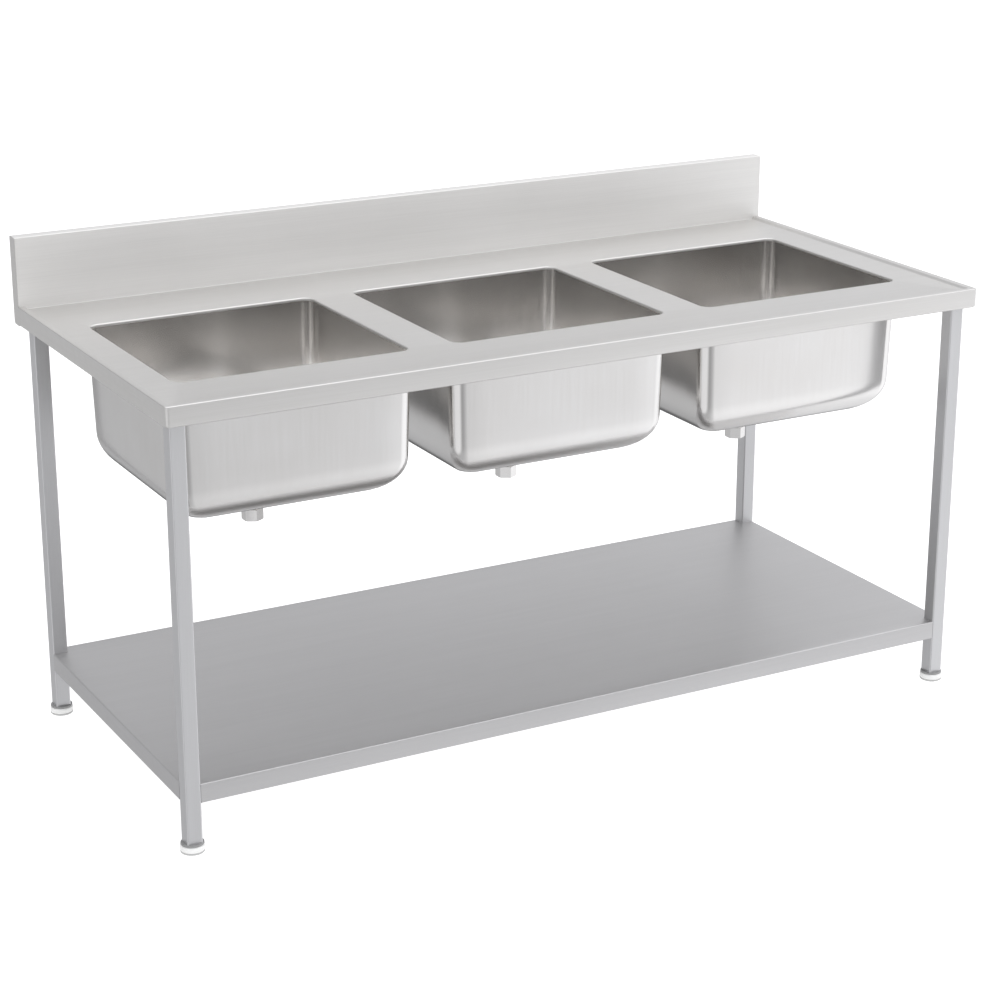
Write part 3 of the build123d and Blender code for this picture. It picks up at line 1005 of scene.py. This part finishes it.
@dataclass
class Welds:
    """Rippled weld beads where the tray and the rails meet the legs."""

    radius: float = 1.6 * MM
    ripple: float = 1.7 * MM
    tray_inset: float = 2.4 * MM
    rail_inset: float = 1 * MM
    sides: int = 10

    def _bead(self, shape: Shape, start: Vector, end: Vector) -> None:
        """Adds one rippled bead, tapered at both ends.

        Args:
            shape: what it is added to.
            start: where it starts.
            end: where it ends.
        """
        run = end - start
        axis = run.normalized()
        side = axis.orthogonal().normalized()
        up = axis.cross(side)
        count = max(6, int(run.length / self.ripple) * 3)
        loops = []
        for i in range(count + 1):
            t = i / count
            swell = 0.82 + 0.18 * abs(math.sin(math.pi * t * run.length / self.ripple))
            end_taper = min(1.0, 6 * min(t, 1 - t) + 0.35)
            r = self.radius * swell * end_taper
            turns = [2 * math.pi * j / self.sides for j in range(self.sides)]
            loops.append([start + run * t + (side * math.cos(a) + up * math.sin(a)) * r for a in turns])
        shape.loft(loops)
        shape.cap(loops[0])
        shape.cap(loops[-1])

    def build(self) -> None:
        """Makes the beads of the tray and of the rails, one piece each."""
        tray, rails = Shape(), Shape()
        shelf_lo, shelf_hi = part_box("undershelf")
        rail_lo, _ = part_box("rail_front")
        for corner in CORNERS:
            lo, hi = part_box(f"leg_{corner}")
            in_x = hi.x if "left" in corner else lo.x
            in_y = hi.y if "front" in corner else lo.y
            out_x = lo.x if "left" in corner else hi.x
            out_y = lo.y if "front" in corner else hi.y
            sx, sy = (1 if "left" in corner else -1), (1 if "front" in corner else -1)
            low, high = shelf_lo.z + 2 * MM, shelf_hi.z - 3 * MM
            for x, y in ((in_x, out_y + sy * self.tray_inset), (out_x + sx * self.tray_inset, in_y)):
                self._bead(tray, Vector((x, y, low)), Vector((x, y, high)))
            top = hi.z - 1 * MM
            for x, y in ((in_x, out_y + sy * self.rail_inset), (in_x, in_y), (out_x + sx * self.rail_inset, in_y)):
                self._bead(rails, Vector((x, y, rail_lo.z + 2 * MM)), Vector((x, y, top)))
        tray.place("tray_weld_beads", "frame_steel")
        rails.place("rail_weld_beads", "frame_steel")


# --- Feet ---


@dataclass
class Foot:
    """One levelling foot: insert collar in the leg, threaded swivel stud, nylon pad and sole."""

    corner: str
    pitch: float = 1.5 * MM
    thread_depth: float = 0.55 * MM
    thread_start: float = 9 * MM
    thread_steps: int = 24
    rows_a_pitch: int = 4
    stud_radius: float = 5 * MM
    stud_head: float = 4 * MM
    core: float = 0.05 * MM
    edge: float = 0.5 * MM
    pad_round: float = 3.2 * MM
    pad_neck: float = 5.5 * MM
    pad_seat: Flat = (10.5 * MM, 4.3 * MM)
    sole_round: float = 3 * MM
    groove: float = 0.8 * MM
    collar_round: float = 1.4 * MM
    bore: float = 5.05 * MM
    plug: float = 14.4 * MM

    def _centre(self) -> Flat:
        """The foot's axis in plan."""
        lo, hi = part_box(f"foot_pad_{self.corner}")
        return (lo.x + hi.x) / 2, (lo.y + hi.y) / 2

    def build(self) -> None:
        """Makes the pad, the sole, the collar and the stud."""
        self._pad()
        self._sole()
        self._collar()
        self._stud()

    def _pad(self) -> None:
        """The white cup, with a rounded shoulder and a soft waist."""
        lo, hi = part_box(f"foot_pad_{self.corner}")
        r = (hi.x - lo.x) / 2
        bend, neck = self.pad_round, self.pad_neck
        seat, level = self.pad_seat[0], lo.z + self.pad_seat[1]
        profile = [(r - 0.6 * MM, lo.z), (r, lo.z + 0.6 * MM)]
        profile += [(r - bend + x, hi.z - bend + y) for x, y in arc((0, 0), bend, 0, 90, 8)]
        profile += [(neck + 1 * MM, hi.z), (neck, hi.z - 1 * MM), (neck, level), (seat, level), (seat, lo.z)]
        Shape().lathe(self._centre(), profile, 64, ring=True).place(
            f"foot_pad_{self.corner}_cup", "white_nylon", f"foot_{self.corner}", [f"foot_pad_{self.corner}"]
        )

    def _sole(self) -> None:
        """The grey sole, with a round edge and grip rings underneath."""
        lo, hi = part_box(f"foot_sole_{self.corner}")
        r, bend = (hi.x - lo.x) / 2, self.sole_round
        groove = self.groove
        profile = [(self.core, lo.z), (5 * MM, lo.z)]
        for ring in (6.5, 10.5, 14.5):
            profile += [(ring * MM, lo.z), ((ring + 0.5) * MM, lo.z + groove)]
            profile += [((ring + 1.5) * MM, lo.z + groove), ((ring + 2) * MM, lo.z)]
        profile += [(r - bend + x, lo.z + bend + y) for x, y in arc((0, 0), bend, 270, 360, 8)]
        profile += [(r, hi.z - self.edge), (r - self.edge, hi.z), (self.core, hi.z)]
        Shape().lathe(self._centre(), profile, 64, ring=True).place(
            f"foot_sole_{self.corner}_disc", "grey_rubber", f"foot_{self.corner}", [f"foot_sole_{self.corner}"]
        )

    def _collar(self) -> None:
        """The insert's round collar and its plug inside the leg, narrowed at the top."""
        lo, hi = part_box(f"foot_insert_{self.corner}")
        leg_lo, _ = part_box(f"leg_{self.corner}")
        x, y = self._centre()
        r, bore, bend = (hi.x - lo.x) / 2, self.bore, self.collar_round
        seat = leg_lo.z
        profile = [(bore, lo.z), (r - 0.8 * MM, lo.z), (r, lo.z + 0.8 * MM)]
        profile += [(r - bend + a, seat - bend + b) for a, b in arc((0, 0), bend, 0, 90, 6)]
        profile += [(bore, seat)]
        shape = Shape().lathe((x, y), profile, 64, ring=True)
        loops = []
        for level, slack in ((seat, 0.0), (hi.z - 3 * MM, 0.0), (hi.z, 1.5 * MM)):
            ring = rounded_rectangle(self.plug - slack, self.plug - slack, 1.5 * MM, 4)
            loops.append([Vector((x + a, y + b, level)) for a, b in ring])
        shape.loft(loops).cap(loops[0]).cap(loops[-1])
        shape.place(f"foot_insert_{self.corner}_collar", "grey_collar", STAND, [f"foot_insert_{self.corner}"])

    def _stud(self) -> None:
        """The stud: a flanged head and a real helical thread."""
        lo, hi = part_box(f"foot_stud_{self.corner}")
        x, y = self._centre()
        r, steps, edge = self.stud_radius, self.thread_steps, self.edge
        thread_start, head_top = lo.z + self.thread_start, lo.z + self.stud_head
        shape = Shape()
        head = (hi.x - lo.x) / 2
        profile = [(self.core, lo.z), (head - edge, lo.z), (head, lo.z + edge)]
        profile += [(head, head_top - edge), (head - edge, head_top), (r, head_top)]
        profile += [(r, thread_start), (self.core, thread_start)]
        shape.lathe((x, y), profile, steps, ring=True)
        loops = []
        rows = int((hi.z - thread_start) / self.pitch * self.rows_a_pitch)
        for i in range(rows + 1):
            loop = []
            for j in range(steps):
                t = j / steps
                z = thread_start + i / self.rows_a_pitch * self.pitch
                phase = (z / self.pitch - t) % 1.0
                depth = self.thread_depth * (1 - abs(2 * phase - 1))
                ends = min(1.0, (hi.z - z) / self.pitch)
                radius = (r - depth) * (0.86 + 0.14 * max(0.0, ends))
                turn = 2 * math.pi * t
                loop.append(Vector((x + radius * math.cos(turn), y + radius * math.sin(turn), min(z, hi.z))))
            loops.append(loop)
        shape.loft(loops).cap(loops[0]).cap(loops[-1])
        shape.place(
            f"foot_stud_{self.corner}_thread", "zinc_steel", f"stud_{self.corner}",
            [f"foot_stud_{self.corner}"], sharp=50,
        )


# --- Stage ---


@dataclass(frozen=True)
class Wall:
    """One softly lit wall: where it is, how bright, and where its glow starts and is full."""

    towards: tuple[float, float, float]
    level: float
    edge: float
    core: float


@dataclass
class Studio:
    """Camera, floor, soft lights and plain surroundings."""

    camera_place: tuple[float, float, float] = (-2.4184, -4.4159, 2.1642)
    yaw: float = 28.67
    pitch: float = -18.80
    lens: float = 89.2
    sensor: float = 36.0
    floor_half: float = 30.0
    base: float = 0.32
    tone: Colour = (1.0, 1.005, 1.03)
    walls: tuple[Wall, ...] = (
        Wall((1.0, 0.0, 0.0), 0.58, -0.2, 1.0),
        Wall((-0.6, 0.75, -0.3), 0.24, 0.6, 1.0),
        Wall((0.85, -0.4, -0.34), 0.22, 0.76, 0.95),
        Wall((-0.8, -0.5, -0.2), 0.58, 0.75, 0.95),
        Wall((0.1, -0.75, 0.65), 0.15, 0.5, 0.95),
        Wall((0.0, 0.0, 1.0), 1.05, 0.42, 0.95),
        Wall((0.15, -0.35, -0.92), 0.22, 0.35, 0.95),
        Wall((0.45, 0.82, -0.36), -0.45, 0.90, 0.985),
    )

    def build(self) -> None:
        """Sets everything round the object."""
        self._camera()
        self._floor()
        self._lights()
        self._world()
        bpy.context.scene.view_settings.view_transform = "Standard"

    def _camera(self) -> None:
        """The view from the front left, a little above the rim."""
        data = bpy.data.cameras.new("view")
        data.lens = self.lens
        data.sensor_width = self.sensor
        data.clip_end = 100.0
        camera = bpy.data.objects.new("view", data)
        camera.location = self.camera_place
        camera.rotation_euler = Euler(
            (math.radians(90 + self.pitch), 0.0, math.radians(-self.yaw)), "XYZ"
        )
        bpy.context.scene.collection.objects.link(camera)
        bpy.context.scene.camera = camera

    def _floor(self) -> None:
        """A wide floor that is plain white and keeps out of the steel's reflections."""
        h = self.floor_half
        mesh = bpy.data.meshes.new("floor")
        mesh.from_pydata([(-h, -h, 0), (h, -h, 0), (h, h, 0), (-h, h, 0)], [], [(0, 1, 2, 3)])
        floor = bpy.data.objects.new("floor", mesh)
        bpy.context.scene.collection.objects.link(floor)
        material, g = new_graph("floor")
        g.surface({
            "Base Color": (0.3, 0.3, 0.3, 1.0),
            "Roughness": 1.0,
            "Emission Color": (1.0, 1.0, 1.0, 1.0),
            "Emission Strength": 1.0,
        })
        mesh.materials.append(material)
        floor.visible_glossy = False

    def _light(self, name: str, place: Sequence[float], target: Sequence[float], size: Flat, power: float) -> None:
        """Adds one soft box, turned towards its target.

        Args:
            name: the light's name.
            place: where it stands.
            target: what it looks at.
            size: its two sides, in metres.
            power: its power, in watts.
        """
        data = bpy.data.lights.new(name, "AREA")
        data.shape = "RECTANGLE"
        data.size, data.size_y = size
        data.energy = power
        light = bpy.data.objects.new(name, data)
        light.location = place
        aim = Vector(target) - Vector(place)
        light.rotation_euler = aim.to_track_quat("-Z", "Y").to_euler()
        bpy.context.scene.collection.objects.link(light)

    def _lights(self) -> None:
        """A soft key from the front right and a weak top box."""
        self._light("key", (3.4, -3.2, 2.8), (0.2, 0.0, 0.6), (2.4, 2.0), 6)
        self._light("top", (0.3, -0.3, 4.4), (0.0, 0.0, 0.8), (3.6, 2.4), 6)

    def _world(self) -> None:
        """Soft studio walls: each wall is a wide glow about one direction, over an even base."""
        world = bpy.data.worlds.new("studio")
        world.use_nodes = True
        bpy.context.scene.world = world
        g = Graph(world.node_tree)
        level = None
        for wall in self.walls:
            dot = g.node("ShaderNodeVectorMath", {"operation": "DOT_PRODUCT"}, {
                0: g.coordinates("Generated"), 1: Vector(wall.towards).normalized(),
            })
            edges = {"Value": Signal(g, dot.outputs["Value"]), "From Min": wall.edge, "From Max": wall.core,
                     "To Min": 0.0, "To Max": wall.level}
            glow = g.node("ShaderNodeMapRange", {"interpolation_type": "SMOOTHSTEP"}, edges)
            level = Signal(g, glow.outputs[0]) + (self.base if level is None else level)
        walls = g.node("ShaderNodeBackground", None, {"Color": (*self.tone, 1.0), "Strength": level})
        plain = g.node("ShaderNodeBackground", None, {"Color": (1.0, 1.0, 1.0, 1.0), "Strength": 1.0})
        seen = g.node("ShaderNodeLightPath").outputs["Is Camera Ray"]
        both = g.node("ShaderNodeMixShader", None, {0: seen, 1: walls.outputs[0], 2: plain.outputs[0]})
        g.node("ShaderNodeOutputWorld", None, {"Surface": both.outputs[0]})


def main() -> None:
    """Builds the sink's looks and reports each piece."""
    logging.basicConfig(level=logging.INFO, format="%(name)s %(message)s")
    SHOP.stock()
    LOG.info("dressed %d CAD nodes", SHOP.dress_cad())
    Worktop().build()
    Backsplash().build()
    for name in BOWLS:
        Bowl(name).build()
    Undershelf().build()
    Welds().build()
    for corner in CORNERS:
        Foot(corner).build()
    Studio().build()


if __name__ == "__main__":
    main()
